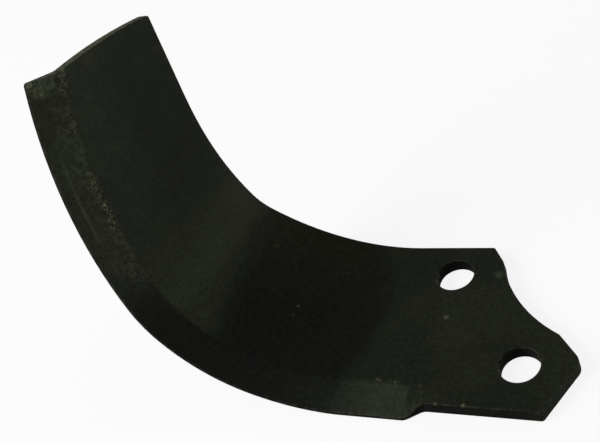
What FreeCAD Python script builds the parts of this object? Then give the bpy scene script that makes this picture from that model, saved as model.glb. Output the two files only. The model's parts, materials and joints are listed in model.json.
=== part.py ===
"""Rotary tiller blade: a flat steel bar, punched, edge-ground and folded into a curved digging wing.

Frame: millimetres, +Z up. The origin is the centre of bolt hole 1 on the seating face, the flat face
of the shank that lies against the rotor flange (Z = 0). X runs along the shank towards the rotor
axis, Y runs across it towards the blade's inner edge, and the wing rises to +Z.

The shank is a plate with a hollow end. Beyond it the blade is laid out as a smith would: a flat blank
with an inner edge and a cutting edge, crossed by fold lines. Each fold line turns all that lies
beyond it by its share of the bend, and a cross-section of the bar stands on every line. Lofts
through those cross-sections are the wide bend, the tight bend and the flat wing.
"""
import FreeCAD, Part
import math
import os

import Sketcher
from FreeCAD import Placement, Rotation, Vector

SIZES = (
    ("thickness", 6.0, "Bar thickness"),
    ("shank_width", 80.0, "Width of the shank, inner edge to outer edge"),
    ("inner_margin", 15.5, "Hole 1 centre to the inner edge"),
    ("hole_diameter", 16.0, "Bolt hole diameter"),
    ("hole_pitch", 57.0, "Bolt hole 1 to bolt hole 2"),
    ("hole_slope", 50.7, "Line of holes below the shank's length, in degrees"),
    ("rim_round", 0.6, "Worn rim of a bolt hole"),
    ("axis_reach", 78.5, "Rotor axis beyond hole 1, along the shank"),
    ("axis_rise", 25.0, "Rotor axis above hole 1, across the shank"),
    ("hollow_radius", 61.7, "Hollow of the shank's end, which clears the rotor tube"),
    ("hollow_top", 8.0, "Upper end of the hollow, above hole 1"),
    ("hollow_drop", 29.0, "Lower end of the hollow, below hole 1"),
    ("crown_reach", 14.0, "Inner corner of the shank's end, beyond hole 1"),
    ("nose_reach", 58.6, "Nose of the shank's end, beyond hole 1"),
    ("nose_drop", 40.5, "Nose of the shank's end, below hole 1"),
    ("foot_reach", 47.8, "Outer corner of the shank's end, beyond hole 1"),
    ("nose_round", 5.0, "Rounding of the nose"),
    ("corner_round", 1.5, "Rounding of the other corners of the shank's end"),
    ("shoulder_reach", 1.3, "Top of the shoulder, beyond hole 1"),
    ("shoulder_run", 6.7, "Run of the shoulder's slope, along the shank"),
    ("shoulder_round", 5.0, "Rounding of the shoulder at its top and its foot"),
    ("edge_spread", 4.8, "How far the drawn-out cutting edge stands outside the shank"),
    ("scarp_back", 0.6, "Where the bevel starts on the upper face, behind hole 1"),
    ("scarp_splay", 17.8, "Scarp's upper edge off square to the shank, in degrees"),
    ("scarp_dip", 34.0, "Slope of the scarp below the upper face, in degrees"),
    ("bevel_width", 13.5, "Width of the bevel, square to the cutting edge"),
    ("edge_land", 1.8, "Blunt land left on the cutting edge"),
    ("fold_back_inner", 19.0, "First fold line at the inner edge, behind hole 1"),
    ("fold_back_outer", 33.0, "First fold line at the cutting edge, behind hole 1"),
    ("sweep_inner", 72.0, "Wide bend, length along the inner edge"),
    ("sweep_outer", 79.0, "Wide bend, length along the cutting edge"),
    ("sweep_angle", 50.0, "Wide bend, turn in degrees"),
    ("knuckle_inner", 11.0, "Tight bend, length along the inner edge"),
    ("knuckle_outer", 17.0, "Tight bend, length along the cutting edge"),
    ("knuckle_angle", 25.0, "Tight bend, turn in degrees"),
    ("wing_angle", 0.0, "Flat wing, turn in degrees"),
    ("wing_inner", 92.0, "Flat wing, length along the inner edge, to the tip"),
    ("wing_outer", 100.2, "Flat wing, length along the cutting edge, to the tip"),
    ("inner_straight", 72.0, "Straight part of the inner edge, from the first fold line on"),
    ("inner_arc_length", 65.0, "Length of the inner edge's curve"),
    ("inner_arc_radius", 130.0, "Radius of the inner edge's curve"),
    ("outer_easy_length", 39.0, "Cutting edge at its easy radius, from the first fold line on"),
    ("outer_easy_radius", 720.0, "Easy radius of the cutting edge"),
    ("outer_arc_radius", 220.0, "Radius of the cutting edge from there to the tip"),
    ("tip_bow", 1.3, "Bow of the tip's end, from the inner corner to the bevel"),
    ("tip_set_in", 1.65, "How far the tip's end at the bevel lies inside the line of its corners"),
    ("tip_slant", 7.0, "Lean of the tip's end face, in degrees"),
    ("tip_inner_round", 1.2, "Rounding of the tip's inner corner"),
    ("tip_outer_round", 1.5, "Rounding of the tip's outer corner"),
)

STRIP_TURN = 5.0  # most that the bar turns between two section lines, in degrees
STRIP_LENGTH = 18.0  # most of the inner edge that lies between two section lines
TO_TIP = math.pi  # heading along the shank, away from the rotor axis
CUT_MARGIN = 3.0  # how far a cutting solid stands clear of the bar
TIP_STOCK = 8.0  # bar left beyond the tip until it's trimmed
TRIM_REACH = 3 * TIP_STOCK  # how far the trimming cut goes beyond the tip
RUNS_ALONG = 0.9  # least cosine between an edge's chord and the direction it's said to run in
VOLUME_SHARE = 0.001  # largest error allowed in the volume the bolt holes take


def fill_sheet(document):
    """Write the driving sizes into a spreadsheet, one named cell each."""
    sheet = document.addObject("Spreadsheet::Sheet", "Sizes")
    for row, (alias, value, meaning) in enumerate(SIZES, start=1):
        sheet.set(f"A{row}", meaning)
        sheet.set(f"B{row}", str(value))
        sheet.setAlias(f"B{row}", alias)
    document.recompute()
    return sheet


def sheet_value(alias):
    return float(sizes.get(alias))


def origin_plane(body, role):
    return next(plane for plane in body.Origin.OriginFeatures if plane.Role == role)


def new_sketch(body, name, offset=None):
    """A sketch on the body's own XY plane, moved from there by the offset placement."""
    sketch = body.newObject("Sketcher::SketchObject", name)
    sketch.AttachmentSupport = [(origin_plane(body, "XY_Plane"), "")]
    sketch.MapMode = "FlatFace"
    if offset is not None:
        sketch.AttachmentOffset = offset
    return sketch


def bind(sketch, name, constraint, expression=None):
    """Add a named dimension and tie it to the sheet."""
    index = sketch.addConstraint(constraint)
    sketch.renameConstraint(index, name)
    if expression is not None:
        sketch.setExpression(f"Constraints.{name}", expression)


def place_point(sketch, name, curve, end, point, across=None, up=None):
    """Dimension one end of a curve from the sketch's origin, by the given expressions."""
    if across is not None:
        rule = Sketcher.Constraint("DistanceX", -1, 1, curve, end, point.x)
        bind(sketch, f"{name}_x", rule, across)
    if up is not None:
        rule = Sketcher.Constraint("DistanceY", -1, 1, curve, end, point.y)
        bind(sketch, f"{name}_y", rule, up)


def close_loop(sketch, count):
    for curve in range(count):
        sketch.addConstraint(Sketcher.Constraint("Coincident", curve, 2, (curve + 1) % count, 1))


def add_polygon(sketch, corners):
    """A closed chain of lines; line n starts at corner n."""
    for number, corner in enumerate(corners):
        following = corners[(number + 1) % len(corners)]
        sketch.addGeometry(Part.LineSegment(corner, following), False)
    close_loop(sketch, len(corners))


# --- the shank: a flat plate with a hollow end, as far as the first fold line --------------------

def cutting_side():
    """Y of the cutting edge beside the shank."""
    return sheet_value("inner_margin") - sheet_value("shank_width") - sheet_value("edge_spread")


def hollow_point(height):
    """Point of the hollow at a height above hole 1."""
    rise = height - sheet_value("axis_rise")
    radius = sheet_value("hollow_radius")
    return Vector(sheet_value("axis_reach") - math.sqrt(radius ** 2 - rise ** 2), height, 0)


def add_shank(body):
    inner = sheet_value("inner_margin")
    outer = inner - sheet_value("shank_width")
    fold_in = Vector(-sheet_value("fold_back_inner"), inner, 0)
    crown = Vector(sheet_value("crown_reach"), inner, 0)
    hollow_start = hollow_point(sheet_value("hollow_top"))
    hollow_end = hollow_point(-sheet_value("hollow_drop"))
    nose = Vector(sheet_value("nose_reach"), -sheet_value("nose_drop"), 0)
    foot = Vector(sheet_value("foot_reach"), outer, 0)
    shoulder = Vector(sheet_value("shoulder_reach"), outer, 0)
    spread = Vector(sheet_value("shoulder_reach") - sheet_value("shoulder_run"), cutting_side(), 0)
    fold_out = Vector(-sheet_value("fold_back_outer"), cutting_side(), 0)
    centre = Vector(sheet_value("axis_reach"), sheet_value("axis_rise"), 0)
    circle = Part.Circle(centre, Vector(0, 0, 1), sheet_value("hollow_radius"))
    hollow = Part.ArcOfCircle(circle, circle.parameter(hollow_start), circle.parameter(hollow_end))

    sketch = new_sketch(body, "ShankOutline")
    sketch.addGeometry(Part.LineSegment(fold_in, crown), False)
    sketch.addGeometry(Part.LineSegment(crown, hollow_start), False)
    sketch.addGeometry(hollow, False)
    sketch.addGeometry(Part.LineSegment(hollow_end, nose), False)
    sketch.addGeometry(Part.LineSegment(nose, foot), False)
    sketch.addGeometry(Part.LineSegment(foot, shoulder), False)
    sketch.addGeometry(Part.LineSegment(shoulder, spread), False)
    sketch.addGeometry(Part.LineSegment(spread, fold_out), False)
    sketch.addGeometry(Part.LineSegment(fold_out, fold_in), False)
    close_loop(sketch, 9)
    outer_y = "Sizes.inner_margin - Sizes.shank_width"
    spread_x = "Sizes.shoulder_reach - Sizes.shoulder_run"
    spread_y = f"{outer_y} - Sizes.edge_spread"
    place_point(sketch, "fold_in", 0, 1, fold_in, "-Sizes.fold_back_inner", "Sizes.inner_margin")
    place_point(sketch, "crown", 1, 1, crown, "Sizes.crown_reach", "Sizes.inner_margin")
    place_point(sketch, "hollow_start", 2, 1, hollow_start, None, "Sizes.hollow_top")
    place_point(sketch, "axis", 2, 3, centre, "Sizes.axis_reach", "Sizes.axis_rise")
    place_point(sketch, "hollow_end", 2, 2, hollow_end, None, "-Sizes.hollow_drop")
    place_point(sketch, "nose", 4, 1, nose, "Sizes.nose_reach", "-Sizes.nose_drop")
    place_point(sketch, "foot", 5, 1, foot, "Sizes.foot_reach", outer_y)
    place_point(sketch, "shoulder", 6, 1, shoulder, "Sizes.shoulder_reach", outer_y)
    place_point(sketch, "spread", 7, 1, spread, spread_x, spread_y)
    place_point(sketch, "fold_out", 8, 1, fold_out, "-Sizes.fold_back_outer", spread_y)
    radius = Sketcher.Constraint("Radius", 2, sheet_value("hollow_radius"))
    bind(sketch, "hollow_radius", radius, "Sizes.hollow_radius")

    shank = body.newObject("PartDesign::Pad", "Shank")
    shank.Profile = sketch
    shank.setExpression("Length", "Sizes.thickness")
    return shank


def nearest_edge(shape, point, along=None):
    """Name of the edge nearest to a point, if need be of those that run along a direction."""
    probe = Part.Vertex(point)
    gaps = []
    for number, edge in enumerate(shape.Edges, start=1):
        run = edge.lastVertex().Point - edge.firstVertex().Point
        if along is None or abs(run.dot(along)) > RUNS_ALONG * run.Length > 0:
            gaps.append((edge.distToShape(probe)[0], f"Edge{number}"))
    return min(gaps)[1]


def round_edges(body, name, points, size, along=None):
    """Round the edges nearest to the given points."""
    base = body.Tip
    fillet = body.newObject("PartDesign::Fillet", name)
    fillet.Base = (base, [nearest_edge(base.Shape, point, along) for point in points])
    fillet.setExpression("Radius", f"Sizes.{size}")
    body.Document.recompute()


def round_shank_corners(body):
    inner = sheet_value("inner_margin")
    outer = inner - sheet_value("shank_width")
    nose = Vector(sheet_value("nose_reach"), -sheet_value("nose_drop"), 0)
    crown = Vector(sheet_value("crown_reach"), inner, 0)
    foot = Vector(sheet_value("foot_reach"), outer, 0)
    shoulder = Vector(sheet_value("shoulder_reach"), outer, 0)
    spread = Vector(sheet_value("shoulder_reach") - sheet_value("shoulder_run"), cutting_side(), 0)
    hollow_ends = [hollow_point(sheet_value("hollow_top")), hollow_point(-sheet_value("hollow_drop"))]
    up = Vector(0, 0, 1)
    round_edges(body, "NoseRound", [nose], "nose_round", up)
    round_edges(body, "CornerRounds", [crown, foot, *hollow_ends], "corner_round", up)
    round_edges(body, "ShoulderRounds", [shoulder, spread], "shoulder_round", up)


# --- the bevel on the flat plate: a long wedge cut away, ending in the sloped scarp ----------------

def add_wedge(sketch, corners):
    """A polygon with every corner dimensioned from the sketch's origin."""
    add_polygon(sketch, corners)
    for number, corner in enumerate(corners):
        place_point(sketch, f"corner{number}", number, 1, corner)


def scarp_frame():
    """Placement on the scarp: X down its upper edge, Y up its slope."""
    splay = math.radians(sheet_value("scarp_splay"))
    dip = math.radians(sheet_value("scarp_dip"))
    apex = Vector(-sheet_value("scarp_back"), cutting_side() + sheet_value("bevel_width"),
                  sheet_value("thickness"))
    outward = Vector(math.sin(splay), -math.cos(splay), 0)
    upslope = Vector(math.cos(splay) * math.cos(dip), math.sin(splay) * math.cos(dip), math.sin(dip))
    turn = Rotation(outward, upslope, outward.cross(upslope), "XYZ")
    return Placement(apex, turn), outward, upslope


def cut_flat_bevel(body):
    drop = sheet_value("thickness") - sheet_value("edge_land")
    width = sheet_value("bevel_width")
    frame, outward, upslope = scarp_frame()
    bevel_normal = Vector(0, -drop, width)
    reach = width + 2 * CUT_MARGIN
    fall = reach * bevel_normal.dot(outward) / bevel_normal.dot(upslope)
    scarp = new_sketch(body, "ScarpWedge", frame)
    corners = (Vector(0, 0, 0), Vector(0, CUT_MARGIN, 0), Vector(reach, CUT_MARGIN, 0),
               Vector(reach, -fall, 0))
    add_wedge(scarp, corners)

    inner_point, _ = inner_edge(0)
    outer_point, _ = cutting_edge(0)
    line = outer_point - inner_point
    bevel = width * line.Length / abs(line.y)
    pose = Placement(Vector(0, 0, sheet_value("thickness")), Rotation())
    wedge = new_sketch(body, "BevelWedge", section_frame(pose, inner_point, outer_point))
    start = line.Length - bevel
    stop = line.Length + CUT_MARGIN
    corners = (Vector(start, 0, 0), Vector(start, CUT_MARGIN, 0), Vector(stop, CUT_MARGIN, 0),
               Vector(stop, -drop * (stop - start) / bevel, 0))
    add_wedge(wedge, corners)

    cut = body.newObject("PartDesign::SubtractiveLoft", "FlatBevel")
    cut.Profile = scarp
    cut.Sections = [wedge]
    cut.Ruled = True
    return cut


# --- the flat blank: its two edges and the lines across it -----------------------------------------

def walk(start, pieces, run):
    """Point and heading after a run along an edge, set out towards the tip.

    The pieces are (length, radius) pairs, a radius of None is straight, and every arc turns
    towards the inner side. The last piece goes on as far as the run does.
    """
    x, y = start.x, start.y
    heading = TO_TIP
    for number, (length, radius) in enumerate(pieces, start=1):
        step = run if number == len(pieces) else min(run, length)
        if radius is None:
            x += step * math.cos(heading)
            y += step * math.sin(heading)
        else:
            turned = heading - step / radius
            x += radius * (math.sin(heading) - math.sin(turned))
            y += radius * (math.cos(turned) - math.cos(heading))
            heading = turned
        run -= step
    return Vector(x, y, 0), heading


def inner_edge(run):
    start = Vector(-sheet_value("fold_back_inner"), sheet_value("inner_margin"), 0)
    pieces = (
        (sheet_value("inner_straight"), None),
        (sheet_value("inner_arc_length"), sheet_value("inner_arc_radius")),
        (0, None),
    )
    return walk(start, pieces, run)


def cutting_edge(run):
    start = Vector(-sheet_value("fold_back_outer"), cutting_side(), 0)
    pieces = (
        (sheet_value("outer_easy_length"), sheet_value("outer_easy_radius")),
        (0, sheet_value("outer_arc_radius")),
    )
    return walk(start, pieces, run)


def section_frame(pose, inner_point, outer_point):
    """Placement of a section: X from the inner to the cutting edge, Y out of the upper face."""
    across = pose.Rotation.multVec(outer_point - inner_point).normalize()
    upward = pose.Rotation.multVec(Vector(0, 0, 1))
    turn = Rotation(across, upward, across.cross(upward), "XYZ")
    return Placement(pose.multVec(inner_point), turn)


def add_section(body, name, frame, span, bevel):
    """A bar section: square inner side, bevel and blunt land on the cutting side."""
    thickness = sheet_value("thickness")
    land = sheet_value("edge_land")
    corners = (
        Vector(0, 0, 0),
        Vector(0, -thickness, 0),
        Vector(span, -thickness, 0),
        Vector(span, land - thickness, 0),
        Vector(span - bevel, 0, 0),
    )
    sketch = new_sketch(body, name, frame)
    add_polygon(sketch, corners)
    sketch.addConstraint(Sketcher.Constraint("Coincident", 0, 1, -1, 1))
    sketch.addConstraint(Sketcher.Constraint("Vertical", 0))
    sketch.addConstraint(Sketcher.Constraint("Horizontal", 1))
    sketch.addConstraint(Sketcher.Constraint("Vertical", 2))
    sketch.addConstraint(Sketcher.Constraint("Horizontal", 4))
    bind(sketch, "thickness", Sketcher.Constraint("DistanceY", 0, 2, 0, 1, thickness), "Sizes.thickness")
    bind(sketch, "span", Sketcher.Constraint("DistanceX", 1, 1, 1, 2, span))
    bind(sketch, "bevel", Sketcher.Constraint("DistanceX", 3, 2, 3, 1, bevel))
    bind(sketch, "land", Sketcher.Constraint("DistanceY", 2, 1, 2, 2, land), "Sizes.edge_land")
    return sketch


class Blank:
    """The flat blank beyond the shank, folded up line by line as its sections are laid down."""

    def __init__(self, body):
        self.body = body
        self.pose = Placement(Vector(0, 0, sheet_value("thickness")), Rotation())
        self.inner_run = 0.0
        self.outer_run = 0.0
        self.section = None
        self.count = 0

    def lay_section(self):
        """Stand a section on the present line."""
        inner_point, _ = inner_edge(self.inner_run)
        outer_point, heading = cutting_edge(self.outer_run)
        line = outer_point - inner_point
        edge = Vector(math.cos(heading), math.sin(heading), 0)
        squareness = line.cross(edge).Length / line.Length
        bevel = sheet_value("bevel_width") / squareness
        frame = section_frame(self.pose, inner_point, outer_point)
        self.count += 1
        self.section = add_section(self.body, f"Section{self.count:02d}", frame, line.Length, bevel)
        return self.section

    def fold(self, degrees):
        """Turn all that lies beyond the present line."""
        inner_point, _ = inner_edge(self.inner_run)
        outer_point, _ = cutting_edge(self.outer_run)
        turn = Rotation(inner_point - outer_point, degrees)
        self.pose = self.pose * Placement(Vector(), turn, inner_point)

    def add_zone(self, name, zone, stock=0.0):
        """One bend or flat of the blank, and any stock beyond it, as a loft through its sections."""
        angle = sheet_value(f"{zone}_angle")
        inner_length = sheet_value(f"{zone}_inner") + stock
        outer_length = sheet_value(f"{zone}_outer") + stock
        strips = math.ceil(max(angle / STRIP_TURN, inner_length / STRIP_LENGTH))
        share = angle / strips
        inner_step = inner_length / strips
        outer_step = outer_length / strips
        if self.section is None:
            self.lay_section()
        sections = [self.section]
        for _ in range(strips):
            self.fold(share / 2)
            self.inner_run += inner_step
            self.outer_run += outer_step
            self.fold(share / 2)
            sections.append(self.lay_section())
        loft = self.body.newObject("PartDesign::AdditiveLoft", name)
        loft.Profile = sections[0]
        loft.Sections = sections[1:]
        loft.Ruled = False
        return loft


# --- the tip: the blank's end, trimmed to a bowed line that flares out across the bevel ----------

def tip_run(side):
    """Run along one edge of the blank, from the first fold line to the tip."""
    return sum(sheet_value(f"{zone}_{side}") for zone in ("sweep", "knuckle", "wing"))


def tip_points():
    """The tip's inner corner, its heel on the bevel's line and its outer corner, on the blank."""
    inner, _ = inner_edge(tip_run("inner"))
    outer, heading = cutting_edge(tip_run("outer"))
    line = (inner - outer).normalize()
    edge = Vector(math.cos(heading), math.sin(heading), 0)
    inward = Vector(-line.y, line.x, 0)
    if inward.x < 0:
        inward = -inward
    bevel = sheet_value("bevel_width") / line.cross(edge).Length
    heel = outer + line * bevel + inward * sheet_value("tip_set_in")
    return inner, heel, outer, -inward


def trim_tip(body, blank):
    """Cut away the stock beyond the tip, and round the tip's two corners."""
    inner, heel, outer, outward = tip_points()
    bow = sheet_value("tip_bow")
    chord = heel - inner
    radius = (chord.Length ** 2 / 4 + bow ** 2) / (2 * bow)
    crest = (inner + heel) / 2 + Vector(chord.y, -chord.x, 0).normalize() * bow
    centre = crest + (crest - (inner + heel) / 2) * (-radius / bow)
    circle = Part.Circle(centre, Vector(0, 0, 1), radius)
    beyond = circle.value(circle.parameter(inner) - CUT_MARGIN / radius)
    clear = outer + (outer - heel).normalize() * CUT_MARGIN
    away = outward * TRIM_REACH
    leaned = blank.pose * Placement(Vector(), Rotation(chord, -sheet_value("tip_slant")), heel)
    end_curve = Part.ArcOfCircle(circle, circle.parameter(beyond), circle.parameter(heel))

    sketch = new_sketch(body, "TipLine", leaned)
    sketch.addGeometry(end_curve, False)
    sketch.addGeometry(Part.LineSegment(heel, clear), False)
    sketch.addGeometry(Part.LineSegment(clear, clear + away), False)
    sketch.addGeometry(Part.LineSegment(clear + away, beyond + away), False)
    sketch.addGeometry(Part.LineSegment(beyond + away, beyond), False)
    close_loop(sketch, 5)
    trim = body.newObject("PartDesign::Pocket", "TipTrim")
    trim.Profile = sketch
    trim.Type = "Length"
    trim.Midplane = True
    trim.setExpression("Length", "4 * Sizes.thickness")
    body.Document.recompute()

    upright = leaned.Rotation.multVec(Vector(0, 0, 1))
    half_bar = Vector(0, 0, sheet_value("thickness") / 2)
    half_land = Vector(0, 0, sheet_value("thickness") - sheet_value("edge_land") / 2)
    inner_corner = leaned.multVec(inner - half_bar)
    outer_corner = leaned.multVec(outer - half_land)
    round_edges(body, "TipInnerRound", [inner_corner], "tip_inner_round", upright)
    round_edges(body, "TipOuterRound", [outer_corner], "tip_outer_round", upright)


# --- holes and roundings -----------------------------------------------------------------------------

def hole_centres():
    slope = math.radians(sheet_value("hole_slope"))
    pitch = sheet_value("hole_pitch")
    return Vector(0, 0, 0), Vector(pitch * math.cos(slope), -pitch * math.sin(slope), 0)


def add_bolt_holes(body):
    sketch = new_sketch(body, "HoleCircles")
    for number, centre in enumerate(hole_centres()):
        circle = Part.Circle(centre, Vector(0, 0, 1), sheet_value("hole_diameter") / 2)
        sketch.addGeometry(circle, False)
        rule = Sketcher.Constraint("Diameter", number, sheet_value("hole_diameter"))
        bind(sketch, f"hole_{number + 1}", rule, "Sizes.hole_diameter")
    sketch.addConstraint(Sketcher.Constraint("Coincident", 0, 3, -1, 1))
    place_point(sketch, "second", 1, 3, hole_centres()[1],
                "Sizes.hole_pitch * cos(Sizes.hole_slope * 1 deg)",
                "-Sizes.hole_pitch * sin(Sizes.hole_slope * 1 deg)")
    holes = body.newObject("PartDesign::Pocket", "BoltHoles")
    holes.Profile = sketch
    holes.Type = "ThroughAll"
    holes.Reversed = True
    return holes


def check_holes(body, uncut_volume):
    """Stop unless the pocket took exactly two bolt holes out of the bar."""
    radius = sheet_value("hole_diameter") / 2
    expected = 2 * math.pi * radius ** 2 * sheet_value("thickness")
    taken = uncut_volume - body.Shape.Volume
    if abs(taken - expected) > VOLUME_SHARE * expected:
        raise RuntimeError(f"bolt holes took {taken} mm3, not {expected}")


def check_document(document):
    """Stop if any object failed or the body isn't one sound solid."""
    for item in document.Objects:
        for flag in ("Invalid", "Error"):
            if flag in item.State:
                raise RuntimeError(f"{item.Name}: {item.State}")
    shape = blade.Shape
    if shape.isNull() or not shape.isValid() or len(shape.Solids) != 1:
        raise RuntimeError("the blade isn't one valid solid")


def round_rims(body):
    """Round the upper rims of the bolt holes, where the punch went in."""
    rim = Vector(0, sheet_value("hole_diameter") / 2, sheet_value("thickness"))
    round_edges(body, "RimRounds", [centre + rim for centre in hole_centres()], "rim_round")


doc = FreeCAD.newDocument("TillerBlade")
sizes = fill_sheet(doc)
blade = doc.addObject("PartDesign::Body", "Blade")
blade.Label = "tiller_blade"
blade.Placement = Placement()
add_shank(blade)
doc.recompute()
round_shank_corners(blade)
cut_flat_bevel(blade)
doc.recompute()
flat_blank = Blank(blade)
flat_blank.add_zone("WideBend", "sweep")
flat_blank.add_zone("TightBend", "knuckle")
flat_blank.add_zone("Wing", "wing", TIP_STOCK)
doc.recompute()
trim_tip(blade, flat_blank)
uncut_volume = blade.Shape.Volume
add_bolt_holes(blade)
doc.recompute()
check_holes(blade, uncut_volume)
round_rims(blade)
check_document(doc)
os.makedirs("parts", exist_ok=True)
blade.Shape.exportStep(f"parts/{blade.Label}.step")
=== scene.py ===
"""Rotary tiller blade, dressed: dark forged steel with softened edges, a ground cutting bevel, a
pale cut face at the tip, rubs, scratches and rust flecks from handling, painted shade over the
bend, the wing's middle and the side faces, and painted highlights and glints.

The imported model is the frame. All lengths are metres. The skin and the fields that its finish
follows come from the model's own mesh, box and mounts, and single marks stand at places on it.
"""
import json
import math

import bmesh
import bpy
import numpy as np
from bpy.props import FloatProperty, FloatVectorProperty, IntProperty, PointerProperty
from mathutils import Matrix, Vector


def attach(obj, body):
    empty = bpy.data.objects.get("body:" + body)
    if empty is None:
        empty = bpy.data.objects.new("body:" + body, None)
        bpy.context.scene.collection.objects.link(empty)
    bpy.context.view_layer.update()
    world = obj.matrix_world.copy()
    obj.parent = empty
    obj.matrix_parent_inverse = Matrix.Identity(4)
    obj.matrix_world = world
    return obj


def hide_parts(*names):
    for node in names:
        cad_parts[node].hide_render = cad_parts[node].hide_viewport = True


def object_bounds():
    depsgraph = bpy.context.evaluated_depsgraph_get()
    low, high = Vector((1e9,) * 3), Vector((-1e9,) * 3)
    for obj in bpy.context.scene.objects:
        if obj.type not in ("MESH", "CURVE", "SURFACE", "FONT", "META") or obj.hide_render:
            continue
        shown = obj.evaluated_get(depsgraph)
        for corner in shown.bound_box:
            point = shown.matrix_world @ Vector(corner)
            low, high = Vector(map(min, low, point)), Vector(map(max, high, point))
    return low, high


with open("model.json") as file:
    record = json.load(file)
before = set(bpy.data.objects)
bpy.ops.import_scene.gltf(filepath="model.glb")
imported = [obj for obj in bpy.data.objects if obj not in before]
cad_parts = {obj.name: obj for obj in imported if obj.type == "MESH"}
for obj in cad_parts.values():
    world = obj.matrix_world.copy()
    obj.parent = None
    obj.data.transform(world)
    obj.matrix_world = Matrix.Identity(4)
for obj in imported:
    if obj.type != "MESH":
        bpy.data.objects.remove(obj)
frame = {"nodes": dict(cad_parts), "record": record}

bl_info = {
    "name": "Rotary tiller blade",
    "version": (1, 0, 0),
    "blender": (4, 5, 0),
    "location": "View3D > Sidebar > Tiller blade",
    "description": "Dresses a folded tiller blade in dark forged steel and sets it on a pale floor",
    "category": "Object",
}

MODEL_LOW, MODEL_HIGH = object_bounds()
CENTRE = (MODEL_LOW + MODEL_HIGH) / 2
NODE = "tiller_blade"
MM = 0.001
DEGREE = math.radians(1)


def shown(red, green, blue):
    """Linear colour of a colour given in the usual 0 to 255 screen values."""
    def linear(value):
        value /= 255
        return value / 12.92 if value <= 0.04045 else ((value + 0.055) / 1.055) ** 2.4
    return tuple(linear(value) for value in (red, green, blue))


# --- settings ------------------------------------------------------------------------------------

class BladeShapeSettings(bpy.types.PropertyGroup):
    edge_softness: FloatProperty(
        name="Edge softness", description="Width of the rounding on the bar's edges",
        default=0.55 * MM, min=0.05 * MM, max=1.0 * MM, unit="LENGTH", precision=5)
    ridge_softness: FloatProperty(
        name="Ridge softness", description="Width of the rounding on the bevel's ridge",
        default=2.0 * MM, min=0.05 * MM, max=3.0 * MM, unit="LENGTH", precision=5)
    edge_steps: IntProperty(
        name="Edge steps", description="Faces across the rounding of an edge",
        default=3, min=1, max=6)
    cell: FloatProperty(
        name="Cell", description="Largest cell of the skin, for the wear that follows its edges",
        default=4.0 * MM, min=2.0 * MM, max=20.0 * MM, unit="LENGTH", precision=4)


class BladeFinishSettings(bpy.types.PropertyGroup):
    oxide: FloatVectorProperty(
        name="Oxide", description="Main colour of the blackened steel",
        default=shown(29, 32, 25), subtype="COLOR", min=0, max=1)
    # The olive colour is a real cast at random over the oxide, and a painted highlight at the tight
    # bend.
    olive_and_highlight: FloatVectorProperty(
        name="Olive cast", description="Olive cast of the oxide, strongest at the tight bend",
        default=shown(38, 42, 30), subtype="COLOR", min=0, max=1)
    # Painted shade: a cool near-black laid over the middle of the bend and its bevel, where the
    # bent face turns away from the light.
    bend_shade_colour: FloatVectorProperty(
        name="Blued", description="Cooler black where the bar was bent hot",
        default=shown(20, 22, 20), subtype="COLOR", min=0, max=1)
    # Painted shade: near-black laid over the side faces, the hole walls and the middle of the wing.
    shade_black: FloatVectorProperty(
        name="Sheared", description="Dull black of the bar's side faces and hole walls",
        default=shown(9, 10, 8), subtype="COLOR", min=0, max=1)
    stain: FloatVectorProperty(
        name="Stain", description="Brown stain along the inner edge of the bend",
        default=shown(31, 31, 22), subtype="COLOR", min=0, max=1)
    # Bare steel on worn edges and specks, and also painted glints on the shank's front edge and
    # hole rims and painted highlights at the step and the tight bend.
    bare_and_glint: FloatVectorProperty(
        name="Bare steel", description="Steel rubbed or ground bare on edges and specks",
        default=shown(104, 110, 86), subtype="COLOR", min=0, max=1)
    rust: FloatVectorProperty(
        name="Rust", description="Tan rust flecks along the bevel",
        default=shown(100, 86, 50), subtype="COLOR", min=0, max=1)
    sheen: FloatVectorProperty(
        name="Sheen", description="Tint of the oxide's reflections",
        default=(0.90, 1.0, 0.80), subtype="COLOR", min=0, max=1)
    roughness: FloatProperty(
        name="Roughness", description="Mean roughness of the oxide", default=0.44, min=0.05, max=1)
    gloss: FloatProperty(
        name="Gloss", description="Specular level of the oxide", default=0.06, min=0, max=1)


class StageSettings(bpy.types.PropertyGroup):
    camera_place: FloatVectorProperty(
        name="Camera place", description="Where the camera stands", subtype="XYZ", unit="LENGTH",
        default=(0.14544, -0.25565, 0.30425))
    lens: FloatProperty(
        name="Lens", description="Focal length on a 36 mm sensor, in millimetres", default=58.8)
    floor_colour: FloatVectorProperty(
        name="Floor colour", description="Colour of the pale floor", subtype="COLOR",
        default=(0.96, 0.96, 0.96), min=0, max=1)
    floor_glow: FloatProperty(
        name="Floor glow", description="Share of the floor that is plain white where it is seen",
        default=0.86, min=0, max=1)
    walls: FloatProperty(
        name="Walls", description="Brightness all round, near the horizon", default=1.0, min=0)
    ceiling: FloatProperty(
        name="Ceiling", description="Brightness overhead, between the lamps", default=0.2, min=0)
    lamp_power: FloatProperty(
        name="Lamp power", description="Share that scales every lamp", default=1.0, min=0)


# --- shader helpers ------------------------------------------------------------------------------

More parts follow.
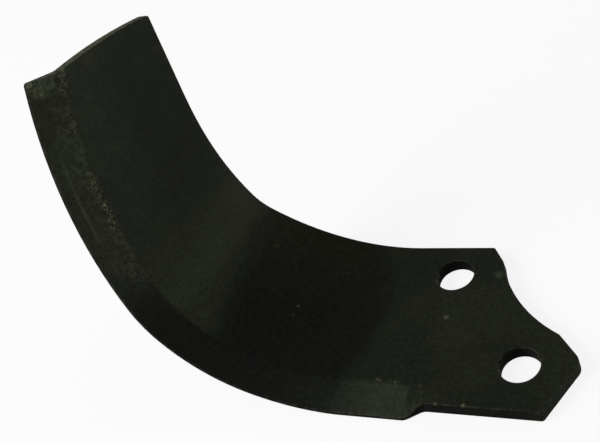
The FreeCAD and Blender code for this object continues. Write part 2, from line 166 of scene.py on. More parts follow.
class Signal:
    """A number that varies over a surface; sums on it become Math nodes."""

    def __init__(self, shader, socket):
        self.shader = shader
        self.socket = socket

    def math(self, operation, first, second, clamp=False):
        return self.shader.node(
            "ShaderNodeMath", {"operation": operation, "use_clamp": clamp}, {0: first, 1: second})

    def __add__(self, other):
        return self.math("ADD", self, other)

    def __radd__(self, other):
        return self.math("ADD", other, self)

    def __sub__(self, other):
        return self.math("SUBTRACT", self, other)

    def __rsub__(self, other):
        return self.math("SUBTRACT", other, self)

    def __mul__(self, other):
        return self.math("MULTIPLY", self, other)

    def __rmul__(self, other):
        return self.math("MULTIPLY", other, self)

    def clamped(self):
        return self.math("ADD", self, 0.0, clamp=True)

    def size(self):
        return self.math("ABSOLUTE", self, 0.0)

    def between(self, low, high):
        """0 at low, 1 at high, smooth in between; low may be the larger."""
        return self.shader.node(
            "ShaderNodeMapRange", {"interpolation_type": "SMOOTHSTEP"},
            {"Value": self, "From Min": low, "From Max": high, "To Min": 0.0, "To Max": 1.0})

    def near(self, middle, reach):
        """1 at the middle, falling to 0 at the reach on either side."""
        return (self - middle).size().between(reach, 0.0)


class Shader:
    """The node tree of one material, built from one method for its nodes."""

    def __init__(self, tree):
        self.tree = tree
        self.tree.nodes.clear()

    def node(self, kind, settings=None, inputs=None, output=0):
        made = self.tree.nodes.new(kind)
        for name, value in (settings or {}).items():
            setattr(made, name, value)
        for name, value in (inputs or {}).items():
            socket = made.inputs[name]
            if isinstance(value, Signal):
                self.tree.links.new(value.socket, socket)
            else:
                socket.default_value = value
        return Signal(self, made.outputs[output]) if made.outputs else None

    def layer(self, under, tint, mask, share):
        """The tint laid over the colour under it, where the mask is, as thick as the share."""
        return self.mix(mask * share, under, tint)

    def mix(self, factor, first, second, blend="MIX"):
        """Blend of two colours, of which either may vary."""
        def colour(value):
            return value if isinstance(value, Signal) else (*value, 1.0)
        settings = {"data_type": "RGBA", "blend_type": blend}
        inputs = {0: factor, 6: colour(first), 7: colour(second)}
        return self.node("ShaderNodeMix", settings, inputs, output=2)

    def grey(self, level):
        """A grey colour from a number."""
        return self.node("ShaderNodeCombineColor", None, {0: level, 1: level, 2: level})

    def stretched(self, vector, scale):
        return self.node("ShaderNodeMapping", {"vector_type": "POINT"},
                         {"Vector": vector, "Scale": scale})

    def distance(self, vector, spot):
        settings = {"operation": "DISTANCE"}
        return self.node("ShaderNodeVectorMath", settings, {0: vector, 1: spot}, output="Value")

    def noise(self, vector, scale=1.0, detail=3.0, roughness=0.55, distortion=0.0):
        inputs = {"Vector": vector, "Scale": scale, "Detail": detail, "Roughness": roughness,
                  "Distortion": distortion}
        return self.node("ShaderNodeTexNoise", {"noise_dimensions": "3D"}, inputs)

    def spots(self, vector, scale):
        """Distance from the nearest of many scattered points, 0 at the point."""
        inputs = {"Vector": vector, "Scale": scale, "Randomness": 1.0}
        return self.node("ShaderNodeTexVoronoi", {"feature": "F1"}, inputs)

    def attribute(self, name):
        settings = {"attribute_type": "GEOMETRY", "attribute_name": name}
        return self.node("ShaderNodeAttribute", settings, output="Fac")

    def axes(self, vector):
        """The three numbers of a vector."""
        split = self.node("ShaderNodeSeparateXYZ", None, {"Vector": vector})
        return [Signal(self, split.socket.node.outputs[axis]) for axis in range(3)]

    def finish(self, surface, kind="ShaderNodeOutputMaterial"):
        self.node(kind, None, {"Surface": surface})


def new_material(name):
    material = bpy.data.materials.new(name)
    material.use_nodes = True
    return material, Shader(material.node_tree)


# --- the blade's skin ----------------------------------------------------------------------------

MERGE_GAP = 0.002 * MM  # points of the copied skin closer than this are one point
FLAT_WITHIN = 1.0 * DEGREE  # faces that meet at less than this are one face
STEEP_EDGE = 50 * DEGREE  # faces that meet at more than this always have an edge between them
SCARP_EDGE = 26 * DEGREE  # broad faces that meet at more than this have an edge too
RIDGE_EDGE = 13 * DEGREE  # broad faces that meet at more than this have a ridge between them
BROAD_FACE = 1.0 * MM ** 2  # least area of a broad face, which is more than a facet of a round
FOLDED_EDGE = 100 * DEGREE  # faces that meet at more than this lie on each other
FOLD_LENGTH = 0.8 * MM  # longest edge of a folded face that the rounding leaves
CUTTING_EDGE = (65 * DEGREE, 79 * DEGREE)  # the bevel meets the blunt land within these
TIP_REACH = 20 * MM  # the way to the tip is taken over this last part of the cutting edge
SHANK_TOP = 6.0 * MM  # height of the shank's upper face
RIDGE_INSET = 14.1 * MM  # the bevel's ridge from the cutting edge, up the slope


def deselect_all():
    if bpy.context.object and bpy.context.object.mode != "OBJECT":
        bpy.ops.object.mode_set(mode="OBJECT")
    bpy.ops.object.select_all(action="DESELECT")


def make_active(piece):
    deselect_all()
    piece.select_set(True)
    bpy.context.view_layer.objects.active = piece


def edit_all(piece):
    make_active(piece)
    bpy.ops.object.mode_set(mode="EDIT")
    bpy.ops.mesh.select_all(action="SELECT")


def copy_of_node(node, name):
    """A new object with a merged copy of the node's mesh."""
    mesh = frame["nodes"][node].data.copy()
    mesh.name = name
    mesh.materials.clear()
    piece = bpy.data.objects.new(name, mesh)
    bpy.context.scene.collection.objects.link(piece)
    edit_all(piece)
    bpy.ops.mesh.customdata_custom_splitnormals_clear()
    bpy.ops.mesh.remove_doubles(threshold=MERGE_GAP)
    bpy.ops.mesh.dissolve_limited(angle_limit=FLAT_WITHIN)
    bpy.ops.object.mode_set(mode="OBJECT")
    return piece


def is_broad(edge):
    return min(face.calc_area() for face in edge.link_faces) > BROAD_FACE


def is_crease(edge):
    """True on the edges of the bar and of the scarp."""
    angle = edge.calc_face_angle(0)
    return angle > STEEP_EDGE or (angle > SCARP_EDGE and is_broad(edge))


def is_ridge(edge):
    """True on the bevel's ridge."""
    return RIDGE_EDGE < edge.calc_face_angle(0) <= SCARP_EDGE and is_broad(edge)


class BarEdges:
    """The bar's edges and its cutting edge, read before they are softened."""

    def __init__(self, piece):
        skin = bmesh.new()
        skin.from_mesh(piece.data)
        creases = [edge for edge in skin.edges if is_crease(edge)]
        self.starts = np.array([edge.verts[0].co for edge in creases])
        self.ends = np.array([edge.verts[1].co for edge in creases])
        low, high = CUTTING_EDGE
        points, steps = longest_chain(
            {edge for edge in creases if low < edge.calc_face_angle(0) < high})
        self.cutting = np.array([point.co for point in points])
        self.upward = np.array([self.up_from_land(edge) for edge in steps])
        skin.free()
        self.steps = np.linalg.norm(np.diff(self.cutting, axis=0), axis=1)
        self.run = np.concatenate(([0.0], np.cumsum(self.steps)))
        self.length = self.run[-1]

    def nearest_step(self, points):
        """For each point: distance to the cutting edge, which step of it, and how far along."""
        return nearest_on_lines(points, self.cutting[:-1], self.cutting[1:])

    def tipward(self):
        """The way to the tip, over the last part of the cutting edge."""
        start = self.cutting[np.searchsorted(self.run, self.length - TIP_REACH)]
        way = self.cutting[-1] - start
        return way / np.linalg.norm(way)

    @staticmethod
    def up_from_land(edge):
        """The way out of the upper face, square to the edge and to the blunt land beside it."""
        hollow = Vector((0, CENTRE.y, CENTRE.z)) - edge.verts[0].co
        land, bevel = sorted(edge.link_faces, key=lambda face: face.normal.dot(hollow))
        up = (edge.verts[1].co - edge.verts[0].co).cross(land.normal).normalized()
        return up if up.dot(bevel.normal) > 0 else -up


def longest_chain(edges):
    """The points and edges of the longest unbroken run, from its shank end to its tip end."""
    best = ([], [])
    for start in {vert for edge in edges for vert in edge.verts}:
        points, steps = [start], []
        onward = [edge for edge in start.link_edges if edge in edges]
        while len(onward) == 1:
            steps.append(onward[0])
            points.append(onward[0].other_vert(points[-1]))
            onward = [edge for edge in points[-1].link_edges
                      if edge in edges and edge is not steps[-1]]
        if len(steps) > len(best[1]) and points[0].co.x > points[-1].co.x:
            best = (points, steps)
    return best


def nearest_on_lines(points, starts, ends):
    """For each point: distance to the nearest of the lines, which line, and how far along it."""
    spans = ends - starts
    lengths = np.einsum("ij,ij->i", spans, spans)
    distance = np.full(len(points), np.inf)
    line = np.zeros(len(points), int)
    share = np.zeros(len(points))
    for number, (start, span, length) in enumerate(zip(starts, spans, lengths)):
        along = np.clip((points - start) @ span / length, 0, 1)
        gap = np.linalg.norm(points - start - along[:, None] * span, axis=1)
        closer = gap < distance
        distance[closer] = gap[closer]
        line[closer] = number
        share[closer] = along[closer]
    return distance, line, share


def soften_edges(piece, shape):
    """Round the ridge widely and the edges narrowly, both at once so that they meet well."""
    skin = bmesh.new()
    skin.from_mesh(piece.data)
    weight = skin.edges.layers.float.new("bevel_weight_edge")
    for edge in skin.edges:
        if is_ridge(edge):
            edge[weight] = 1.0
        elif is_crease(edge):
            edge[weight] = shape.edge_softness / shape.ridge_softness
    skin.to_mesh(piece.data)
    skin.free()
    make_active(piece)
    rounding = piece.modifiers.new("rounding", "BEVEL")
    rounding.limit_method = "WEIGHT"
    rounding.offset_type = "WIDTH"
    rounding.width = shape.ridge_softness
    rounding.segments = shape.edge_steps
    rounding.use_clamp_overlap = False
    rounding.miter_outer = "MITER_ARC"
    bpy.ops.object.modifier_apply(modifier=rounding.name)
    piece.data.attributes.remove(piece.data.attributes["bevel_weight_edge"])


def close_folds(piece):
    """Draw together the tiny folds that the rounding leaves where edges meet."""
    edit_all(piece)
    bpy.ops.mesh.select_mode(type="EDGE")
    folds = True
    while folds:
        bpy.ops.mesh.select_all(action="DESELECT")
        skin = bmesh.from_edit_mesh(piece.data)
        folds = [edge for edge in skin.edges
                 if edge.calc_face_angle(0) > FOLDED_EDGE and edge.calc_length() < FOLD_LENGTH]
        for edge in folds:
            edge.select = True
        bmesh.update_edit_mesh(piece.data)
        if folds:
            bpy.ops.mesh.merge(type="COLLAPSE")
    bpy.ops.object.mode_set(mode="OBJECT")


def cut_cells(piece, cell):
    """Cut the skin's long faces by planes a cell apart, so that its fields have points enough."""
    edit_all(piece)
    bpy.ops.mesh.quads_convert_to_tris()
    for axis, normal in enumerate(((1, 0, 0), (0, 1, 0), (0, 0, 1))):
        count = int((MODEL_HIGH[axis] - MODEL_LOW[axis]) / cell)
        for step in range(count):
            place = list(CENTRE)
            place[axis] = MODEL_LOW[axis] + (step + 0.5) * cell
            bpy.ops.mesh.select_all(action="SELECT")
            bpy.ops.mesh.bisect(plane_co=place, plane_no=normal)
    bpy.ops.mesh.select_all(action="SELECT")
    bpy.ops.mesh.quads_convert_to_tris()
    bpy.ops.object.mode_set(mode="OBJECT")


def even_normals(piece):
    """Keep the broad faces flat right up to their softened edges."""
    make_active(piece)
    bpy.ops.object.shade_smooth()
    even = piece.modifiers.new("even_normals", "WEIGHTED_NORMAL")
    even.mode = "FACE_AREA"
    even.weight = 100
    bpy.ops.object.modifier_apply(modifier=even.name)


def bolt_holes():
    """Centre and radius of each bolt hole, from the record's bore mounts."""
    bores = [mount for mount in frame["record"]["mounts"] if mount["kind"] == "bore"]
    return [(bore["pos_m"], bore["dims"]["r_mm"] * MM) for bore in bores]


def write_field(mesh, name, domain, values):
    field = mesh.attributes.new(name, "FLOAT", domain)
    field.data.foreach_set("value", np.asarray(values, np.float32))


def write_point_fields(mesh, bar):
    """Inset from the cutting edge, run along it, and distance from the nearest rim."""
    points = np.empty(len(mesh.vertices) * 3)
    mesh.vertices.foreach_get("co", points)
    points = points.reshape(-1, 3)
    inset, step, share = bar.nearest_step(points)
    run = bar.run[step] + share * bar.steps[step]
    rim, _, _ = nearest_on_lines(points, bar.starts, bar.ends)
    for centre, radius in bolt_holes():
        from_wall = np.hypot(points[:, 0] - centre[0], points[:, 1] - centre[1]) - radius
        from_face = np.minimum(np.abs(points[:, 2]), np.abs(points[:, 2] - SHANK_TOP))
        rim = np.minimum(rim, np.hypot(from_wall, from_face))
    write_field(mesh, "inset", "POINT", inset)
    write_field(mesh, "run", "POINT", run)
    write_field(mesh, "rim", "POINT", rim)


def write_face_fields(mesh, bar):
    """How far each face looks up out of the bar, and how far towards the tip."""
    normals = np.array([face.normal for face in mesh.polygons])
    centres = np.array([face.center for face in mesh.polygons])
    _, step, _ = bar.nearest_step(centres)
    facing = np.einsum("ij,ij->i", normals, bar.upward[step])
    end_cut = (normals @ bar.tipward()) * (centres[:, 2] > CENTRE.z)
    write_field(mesh, "facing", "FACE", facing)
    write_field(mesh, "end_cut", "FACE", end_cut)


class TILLER_OT_dress_blade(bpy.types.Operator):
    """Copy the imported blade, soften its edges and give it its steel finish"""
    bl_idname = "tiller.dress_blade"
    bl_label = "Dress the blade"

    def execute(self, context):
        shape = context.scene.tiller_blade_shape
        blade = copy_of_node(NODE, "blade_steel")
        bar = BarEdges(blade)
        soften_edges(blade, shape)
        close_folds(blade)
        cut_cells(blade, shape.cell)
        even_normals(blade)
        write_point_fields(blade.data, bar)
        write_face_fields(blade.data, bar)
        blade.data.materials.append(blade_steel(context.scene.tiller_blade_finish, bar.length))
        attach(blade, "root")
        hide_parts(NODE)
        return {"FINISHED"}


# --- the steel finish ----------------------------------------------------------------------------
# A pair of values is the border of a zone, which is empty at the first and full at the second.

UPPER_FACING = (0.45, 0.7)  # facing of the upper faces
SIDE_FACING = (0.6, 0.4)  # facing of the side faces, either way up
END_FACING = (0.5, 0.8)  # end_cut of the cut face at the tip
WANDER = 8 * MM  # how far the blotches move a zone's border
RISE_SHARE = 0.05  # share of the height in the patterns that run with the cutting edge
BEVEL_START = (0.2 * MM, 1.0 * MM)  # run
BEVEL_INSET = (RIDGE_INSET + 1.5 * MM, RIDGE_INSET - 1.5 * MM)
WING_HEIGHT = (48 * MM, 62 * MM)

# Painted shade over the middle of the bend and its bevel, in a cool near-black.
BEND_SHADE_START = (-19 * MM, -31 * MM)  # x beside the shank
BEND_SHADE_END = (-94 * MM, -80 * MM)  # x in the tight bend
BEND_SHADE_INSET = (34 * MM, 62 * MM)  # where it thins
BEND_SHADE_SHARE = 0.95
BEND_SHADE_THINNING = 0.30
BEND_SHADE_MIDDLE = -22 * MM  # y of the middle of its bowed border
BEND_SHADE_HALF_WIDTH = 33 * MM
BEND_SHADE_BOW = 9 * MM
BEND_SHADE_BEVEL_START = (-30 * MM, -50 * MM)  # x
BEND_SHADE_BEVEL_TOP = (76 * MM, 58 * MM)
# Painted shade over the middle of the wing, between these insets.
WING_SHADE_OUTER = (22 * MM, 46 * MM)  # insets of the darker middle of the wing
WING_SHADE_INNER = (92 * MM, 62 * MM)
# Painted highlight at the tight bend.
KNUCKLE_HIGHLIGHT_START = (-84 * MM, -91 * MM)  # x
KNUCKLE_HIGHLIGHT_TOP = (80 * MM, 40 * MM)
STAIN_START = (-30 * MM, -48 * MM)  # x
STAIN_TOP = (60 * MM, 48 * MM)
STAIN_INSET = (50 * MM, 80 * MM)

# Ground streaks and a painted highlight at the bevel's end by the step.
STEP_RUN = (34 * MM, 14 * MM)  # the brighter end of the bevel, at the step
BAND_INSET = (5 * MM, 10 * MM)
SECOND_LINE = (5.0 * MM, 1.2 * MM)  # middle and reach of its inset
SECOND_BREAKS = (0.42, 0.58)  # levels of a pattern between which it breaks a line or a rub
PATCH_RUN = (-8 * MM, -3 * MM)  # from the tip's end of the cutting edge
PATCH_INSET = (11 * MM, 6 * MM)
RIDGE_LINE = (RIDGE_INSET, 0.9 * MM)  # middle and reach of its inset
RIDGE_BREAKS = (0.25, 0.6)
RIDGE_BAND = (RIDGE_INSET - 0.6 * MM, 2.6 * MM)  # middle and reach of its inset
RUB_LOW = (76 * MM, 84 * MM)  # heights of the rubbed stretches of the ridge
RUB_HIGH = (107 * MM, 101 * MM)
RUB_FAINT = (123 * MM, 7 * MM)  # middle and reach of its height
RUB_TIP = (131 * MM, 136 * MM)
RUB_GRAIN = (0.55, 0.85)
RUB_BREAKS = (0.2, 0.5)

SPECK_TOP = (60 * MM, 40 * MM)
SPECK_SIZE = (0.13, 0.05)  # share of the way from one speck to the next
SPECK_GROUPS = (0.52, 0.66)  # levels of the blotches that hold specks
SCRATCH_LEVEL = (0.66, 0.74)
SCRATCH_GROUPS = (0.54, 0.60)
MARK_RAGGED = 0.6  # share of a mark's reach that its border wanders
MARK_CORE = 0.3  # share of a mark's reach that is full

# The side faces get less of the painted shade at the nose.
NOSE = (40 * MM, 50 * MM)  # x of the shank's nose, whose side faces are paler
RIM_WEAR = (0.7 * MM, 0.2 * MM)
RIM_BREAKS = (0.35, 0.9)
SHADE_LEVEL = 0.64  # the fine pattern darkens all colours to this at its lowest
SHADE_GRAIN = 0.32
SHADE_MOTTLE = 0.40
SIDE_ROUGHNESS = 0.4  # added to the roughness of the oxide
BLOTCH_ROUGHNESS = 0.22
GRAIN_ROUGHNESS = 0.10
GRAIN_RELIEF = 0.35  # share of the relief that is fine grain, and the rest is mottle
RELIEF_DEPTH = 0.12 * MM
RELIEF_STRENGTH = 0.35

MARKS = (  # place, reach, share and tint of the single marks
    ((1.6 * MM, -22.6 * MM, 6.0 * MM), 1.5 * MM, 0.40, "bare_and_glint"),
    ((19.0 * MM, 0.2 * MM, 6.0 * MM), 2.6 * MM, 0.16, "bare_and_glint"),
    ((14.1 * MM, -32.7 * MM, 6.0 * MM), 4.5 * MM, 0.04, "rust"),
    ((7.0 * MM, -29.0 * MM, 6.0 * MM), 5.0 * MM, 0.03, "rust"),
    ((-19.2 * MM, -54.8 * MM, 6.0 * MM), 1.0 * MM, 0.30, "bare_and_glint"),
    ((-17.9 * MM, -55.3 * MM, 6.0 * MM), 0.8 * MM, 0.24, "bare_and_glint"),
    ((-13.6 * MM, -54.8 * MM, 6.0 * MM), 0.6 * MM, 0.20, "bare_and_glint"),
    ((-11.3 * MM, -55.6 * MM, 6.0 * MM), 0.9 * MM, 0.22, "bare_and_glint"),
    ((-116.8 * MM, -0.6 * MM, 135.7 * MM), 3.5 * MM, 0.06, "rust"),
    ((-105.4 * MM, 26.0 * MM, 119.1 * MM), 3.0 * MM, 0.05, "rust"),
    # Painted highlight where the tight bend meets the inner edge.
    ((-90.5 * MM, 7.0 * MM, 47.8 * MM), 12.0 * MM, 0.06, "bare_and_glint"),
    # Painted glints on the shank's front top edge.
    ((18.6 * MM, -64.0 * MM, 5.9 * MM), 1.2 * MM, 0.50, "bare_and_glint"),
    ((7.5 * MM, -64.3 * MM, 5.9 * MM), 1.0 * MM, 0.40, "bare_and_glint"),
    ((-62.9 * MM, -25.7 * MM, 14.2 * MM), 0.9 * MM, 0.40, "bare_and_glint"),
    ((-77.4 * MM, -1.8 * MM, 26.6 * MM), 1.4 * MM, 0.14, "rust"),
    # Painted glints on the lower left rims of the bolt holes.
    ((-6.5 * MM, -3.2 * MM, 4.7 * MM), 2.1 * MM, 0.50, "bare_and_glint"),
    ((-6.9 * MM, 0.6 * MM, 4.7 * MM), 2.0 * MM, 0.30, "bare_and_glint"),
    ((29.4 * MM, -46.9 * MM, 4.7 * MM), 2.0 * MM, 0.36, "bare_and_glint"),
)


class SteelSkin:
    """What the finish reads at each point: its place, the fields written there and the patterns."""

    def __init__(self, steel):
        self.place = steel.node("ShaderNodeTexCoord", output="Object")
        self.x, self.y, self.z = steel.axes(self.place)
        self.inset = steel.attribute("inset")
        self.run = steel.attribute("run")
        self.rim = steel.attribute("rim")
        self.end_cut = steel.attribute("end_cut").between(*END_FACING)

        self.clouds = steel.noise(self.place, scale=26.0).between(0.42, 0.62)
        self.blotches = steel.noise(
            self.place, scale=110.0, detail=4.0, roughness=0.6, distortion=0.4)
        mottle = steel.noise(self.place, scale=520.0, roughness=0.7)
        self.mottle = mottle.between(0.34, 0.66)
        grain = steel.noise(self.place, scale=1500.0, detail=2.0, roughness=0.6)
        self.grain = grain.between(0.32, 0.68)
        self.wander = (self.blotches - 0.5) * WANDER

        edgewise = steel.node("ShaderNodeCombineXYZ", None, {
            0: self.run, 1: self.inset, 2: self.z * RISE_SHARE})
        long_cells = steel.stretched(edgewise, scale=(48.0, 30.0, 1.0))
        self.stretch = steel.noise(long_cells, detail=2.0)
        thin_cells = steel.stretched(edgewise, scale=(260.0, 800.0, 60.0))
        self.hatch = steel.noise(thin_cells, detail=2.0, roughness=0.6).between(0.50, 0.66)

        facing = steel.attribute("facing")
        self.upper = facing.between(*UPPER_FACING)
        self.side = facing.size().between(*SIDE_FACING)
        self.wing = self.z.between(*WING_HEIGHT)
        self.bevel = (self.upper * self.run.between(*BEVEL_START)
                      * self.inset.between(*BEVEL_INSET))


def forged_coat(steel, skin, finish):
    """Oxide with an olive cast, painted shade over the wing's middle and over the bend, a painted
    highlight at the tight bend, and stained along its bend.
    """
    colour = steel.layer(finish.oxide, finish.olive_and_highlight, skin.clouds, share=0.5)

    # Painted shade: the middle of the wing is darkened with near-black.
    wing_shade = skin.upper * skin.wing * (skin.inset + skin.wander).between(*WING_SHADE_OUTER)
    wing_shade = wing_shade * (skin.inset + skin.wander).between(*WING_SHADE_INNER)
    colour = steel.layer(colour, finish.shade_black, wing_shade, share=0.55)

    # Painted highlight: the tight bend is brightened with the olive colour.
    knuckle_highlight = (skin.x + skin.wander).between(*KNUCKLE_HIGHLIGHT_START)
    knuckle_highlight = knuckle_highlight * (skin.z + skin.wander).between(*KNUCKLE_HIGHLIGHT_TOP)
    colour = steel.layer(colour, finish.olive_and_highlight, knuckle_highlight, share=0.8)

    # Painted shade: the middle of the bend and its bevel are darkened with a cool near-black.
    off_middle = (skin.y - BEND_SHADE_MIDDLE) * (1 / BEND_SHADE_HALF_WIDTH)
    bow = off_middle * off_middle * BEND_SHADE_BOW
    bend_shade = (skin.x + skin.wander + bow).between(*BEND_SHADE_START)
    bend_shade = bend_shade * (skin.x + skin.wander).between(*BEND_SHADE_END)
    bend_shade = bend_shade * (BEND_SHADE_SHARE - BEND_SHADE_THINNING * skin.inset.between(*BEND_SHADE_INSET))
    bend_bevel_shade = skin.bevel * skin.z.between(*BEND_SHADE_BEVEL_TOP) * skin.x.between(*BEND_SHADE_BEVEL_START)
    colour = steel.mix((bend_shade + bend_bevel_shade).clamped(), colour, finish.bend_shade_colour)

    inner = skin.upper * (skin.inset + skin.wander * 0.5).between(*STAIN_INSET)
    inner = inner * (skin.x + skin.wander).between(*STAIN_START) * skin.z.between(*STAIN_TOP)
    return steel.layer(colour, finish.stain, inner, share=0.8)


def ground_bevel(steel, skin, finish, colour, edge_length):
    """Paler steel on the bevel: at its step, where a painted highlight is mixed in, over the wing,
    in a second line and at the tip.
    """
    # Ground streaks and a painted highlight at the step end of the bevel.
    step_grind_and_highlight = skin.bevel * (skin.run + skin.wander).between(*STEP_RUN)
    colour = steel.layer(colour, finish.bare_and_glint, step_grind_and_highlight, share=0.03 + 0.12 * skin.stretch)

    on_wing = skin.bevel * skin.wing
    band = skin.mottle * skin.inset.between(*BAND_INSET)
    colour = steel.layer(colour, finish.bare_and_glint, on_wing, share=0.04 + 0.07 * band)
    second_line = on_wing * skin.inset.near(*SECOND_LINE) * skin.stretch.between(*SECOND_BREAKS)
    colour = steel.layer(colour, finish.bare_and_glint, second_line, share=0.14)

    patch_start, patch_full = (edge_length + place for place in PATCH_RUN)
    patch = skin.bevel * (skin.run + skin.wander).between(patch_start, patch_full)
    patch = patch * (skin.inset + skin.wander).between(*PATCH_INSET)
    return steel.layer(colour, finish.bare_and_glint, patch, share=0.16 + 0.50 * skin.hatch)


def rubbed_ridge(steel, skin, finish, colour):
    """A faint line along the bevel's ridge, and rubs and rust flecks on stretches of it."""
    ridge = skin.upper * skin.wing
    line = ridge * skin.inset.near(*RIDGE_LINE) * skin.mottle.between(*RIDGE_BREAKS)
    colour = steel.layer(colour, finish.bare_and_glint, line, share=0.06)

    stretches = skin.z.between(*RUB_LOW) * skin.z.between(*RUB_HIGH)
    stretches = stretches + 0.4 * skin.z.near(*RUB_FAINT) + skin.z.between(*RUB_TIP)
    rubs = ridge * skin.inset.near(*RIDGE_BAND) * stretches.clamped()
    rubs = rubs * skin.grain.between(*RUB_GRAIN) * skin.mottle.between(*RUB_BREAKS)
    flecks = steel.mix(skin.mottle, finish.rust, finish.bare_and_glint)
    return steel.layer(colour, flecks, rubs, share=0.7)


def specks_and_scratches(steel, skin, finish, colour):
    """Fine specks low on the blade and fine scratches along it, both in loose groups."""
    specks = steel.spots(skin.place, scale=240.0).between(*SPECK_SIZE)
    specks = specks * skin.upper * skin.z.between(*SPECK_TOP)
    specks = specks * skin.blotches.between(*SPECK_GROUPS)
    colour = steel.layer(colour, finish.bare_and_glint, specks, share=0.20)

    thin_cells = steel.stretched(skin.place, scale=(110.0, 1700.0, 500.0))
    scratches = steel.noise(thin_cells, detail=2.0, roughness=0.6).between(*SCRATCH_LEVEL)
    scratches = scratches * skin.upper * skin.blotches.between(*SCRATCH_GROUPS)
    return steel.layer(colour, finish.bare_and_glint, scratches, share=0.12)


def single_marks(steel, skin, finish, colour):
    """The few marks that stand alone, each with a ragged border; some are painted glints and one a
    painted highlight.
    """
    for spot, reach, share, tint in MARKS:
        gap = steel.distance(skin.place, spot)
        ragged = gap + (skin.mottle - 0.5) * (reach * MARK_RAGGED)
        mark = ragged.between(reach, reach * MARK_CORE)
        colour = steel.layer(colour, getattr(finish, tint), mark, share)
    return colour


def blade_steel(finish, edge_length):
    """Forged steel, ground along its cutting edge and worn by handling, with painted shade and
    painted highlights.
    """
    material, steel = new_material("blade_steel")
    skin = SteelSkin(steel)
    colour = forged_coat(steel, skin, finish)
    colour = ground_bevel(steel, skin, finish, colour, edge_length)
    colour = rubbed_ridge(steel, skin, finish, colour)
    colour = specks_and_scratches(steel, skin, finish, colour)
    # Painted shade: side faces and hole walls are darkened towards near-black, less at the shank's
    # nose.
    side_shade_share = 0.9 - 0.7 * skin.x.between(*NOSE)
    colour = steel.layer(colour, finish.shade_black, skin.side, share=side_shade_share)
    colour = single_marks(steel, skin, finish, colour)
    colour = steel.layer(colour, finish.bare_and_glint, skin.end_cut, share=0.25 + 0.30 * skin.mottle)
    rim_wear = skin.rim.between(*RIM_WEAR) * skin.mottle.between(*RIM_BREAKS)
    colour = steel.layer(colour, finish.bare_and_glint, rim_wear, share=0.09)
    shade = steel.grey(SHADE_LEVEL + SHADE_GRAIN * skin.grain + SHADE_MOTTLE * skin.mottle)
    colour = steel.mix(1.0, colour, shade, "MULTIPLY")

    rough = finish.roughness + skin.side * SIDE_ROUGHNESS
    rough = rough + (skin.blotches - 0.5) * BLOTCH_ROUGHNESS
    rough = rough + (skin.grain - 0.5) * GRAIN_ROUGHNESS
    relief = skin.grain * GRAIN_RELIEF + skin.mottle * (1 - GRAIN_RELIEF)
    bump = steel.node("ShaderNodeBump", None, {
        "Strength": RELIEF_STRENGTH, "Distance": RELIEF_DEPTH, "Height": relief})
    surface = steel.node("ShaderNodeBsdfPrincipled", None, {
        "Base Color": colour, "Roughness": rough.clamped(), "Normal": bump,
        "Specular IOR Level": finish.gloss, "Specular Tint": (*finish.sheen, 1.0)})
    steel.finish(surface)
    return material


# --- the stage -----------------------------------------------------------------------------------

CAMERA_AXES = Matrix((  # columns: the camera's right, its up, and the way back from the blade
    (0.8721, 0.0169, 0.4891),
    (0.3262, 0.7250, -0.6066),
    (-0.3649, 0.6885, 0.6267),
))

SENSOR_WIDTH = 36.0  # millimetres, which the lens is given for
CLIP_START = 0.01
FLOOR_SIZE = 8.0
FLOOR_GAP = 0.1 * MM  # the floor lies this much below the blade
CEILING_BORDER = (0.55, 0.15)  # rise of a view, where the dim ceiling fades into the walls

LAMPS = (  # name, direction from the blade, distance, width, power in watts
    ("top_softbox", (-0.64, -0.44, 0.63), 1.3, 0.75, 14.0),
    ("side_softbox", (0.88, 0.42, 0.22), 1.1, 0.50, 3.0),
)


class TILLER_OT_set_stage(bpy.types.Operator):
    """Set the pale floor, the soft lamps and the camera"""
    bl_idname = "tiller.set_stage"
    bl_label = "Set the stage"

    def execute(self, context):
        stage = context.scene.tiller_stage
        add_camera(stage)
        add_floor(stage)
        add_lamps(stage)
        add_room(stage)
        context.scene.view_settings.view_transform = "Standard"
        return {"FINISHED"}


def add_camera(stage):
    lens = bpy.data.cameras.new("camera")
    lens.lens = stage.lens
    lens.sensor_width = SENSOR_WIDTH
    lens.clip_start = CLIP_START
    camera = bpy.data.objects.new("camera", lens)
    bpy.context.scene.collection.objects.link(camera)
    camera.matrix_world = Matrix.Translation(stage.camera_place) @ CAMERA_AXES.to_4x4()
    bpy.context.scene.camera = camera


def add_floor(stage):
    deselect_all()
    place = (CENTRE.x, CENTRE.y, MODEL_LOW.z - FLOOR_GAP)
    bpy.ops.mesh.primitive_plane_add(size=FLOOR_SIZE, location=place)
    floor = bpy.context.object
    floor.name = "floor"
    material, pale = new_material("pale_floor")
    lit = pale.node("ShaderNodeBsdfDiffuse", None, {"Color": (*stage.floor_colour, 1.0)})
    white = pale.node("ShaderNodeEmission", None, {"Strength": 1.0})
    path = pale.node("ShaderNodeLightPath")
    rays = path.socket.node.outputs
    seen = Signal(pale, rays["Is Camera Ray"]) + Signal(pale, rays["Is Glossy Ray"])
    seen = (seen + Signal(pale, rays["Is Transmission Ray"])).clamped()
    surface = pale.node("ShaderNodeMixShader", None, {0: seen * stage.floor_glow, 1: lit, 2: white})
    pale.finish(surface)
    floor.data.materials.append(material)


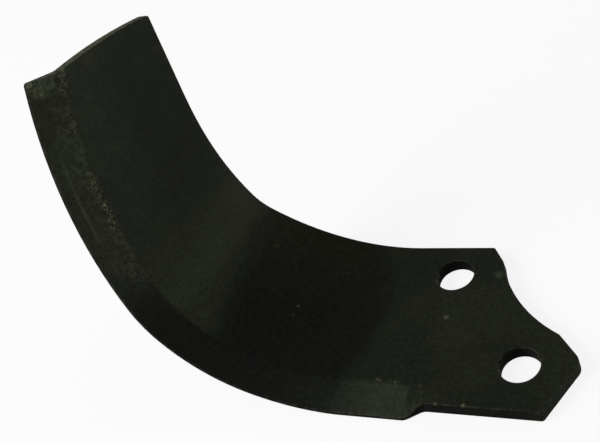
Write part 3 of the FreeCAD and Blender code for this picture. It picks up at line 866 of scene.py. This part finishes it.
def add_lamps(stage):
    for name, direction, distance, width, power in LAMPS:
        data = bpy.data.lights.new(name, "AREA")
        data.shape = "SQUARE"
        data.size = width
        data.energy = power * stage.lamp_power
        lamp = bpy.data.objects.new(name, data)
        bpy.context.scene.collection.objects.link(lamp)
        towards = Vector(direction).normalized()
        lamp.location = CENTRE + towards * distance
        lamp.rotation_euler = towards.to_track_quat("Z", "Y").to_euler()


def add_room(stage):
    """A room with white walls and a dimmer ceiling."""
    room = bpy.data.worlds.new("room")
    room.use_nodes = True
    air = Shader(room.node_tree)
    _, _, height = air.axes(air.node("ShaderNodeTexCoord", output="Generated"))
    level = height.between(*CEILING_BORDER) * (stage.walls - stage.ceiling) + stage.ceiling
    air.finish(air.node("ShaderNodeBackground", None, {"Strength": level}),
               "ShaderNodeOutputWorld")
    bpy.context.scene.world = room


class TILLER_PT_blade(bpy.types.Panel):
    """Buttons and sizes of the tiller blade"""
    bl_idname = "TILLER_PT_blade"
    bl_label = "Tiller blade"
    bl_space_type = "VIEW_3D"
    bl_region_type = "UI"
    bl_category = "Tiller blade"

    def draw(self, context):
        scene = context.scene
        self.layout.operator(TILLER_OT_set_stage.bl_idname)
        self.layout.operator(TILLER_OT_dress_blade.bl_idname)
        for group in (scene.tiller_blade_shape, scene.tiller_blade_finish, scene.tiller_stage):
            box = self.layout.box()
            for name in group.__annotations__:
                box.prop(group, name)


CLASSES = (BladeShapeSettings, BladeFinishSettings, StageSettings,
           TILLER_OT_dress_blade, TILLER_OT_set_stage, TILLER_PT_blade)


def register():
    for item in CLASSES:
        bpy.utils.register_class(item)
    bpy.types.Scene.tiller_blade_shape = PointerProperty(type=BladeShapeSettings)
    bpy.types.Scene.tiller_blade_finish = PointerProperty(type=BladeFinishSettings)
    bpy.types.Scene.tiller_stage = PointerProperty(type=StageSettings)


def unregister():
    del bpy.types.Scene.tiller_stage
    del bpy.types.Scene.tiller_blade_finish
    del bpy.types.Scene.tiller_blade_shape
    for item in reversed(CLASSES):
        bpy.utils.unregister_class(item)


def main():
    register()
    bpy.ops.tiller.set_stage()
    bpy.ops.tiller.dress_blade()


if __name__ == "__main__":
    main()
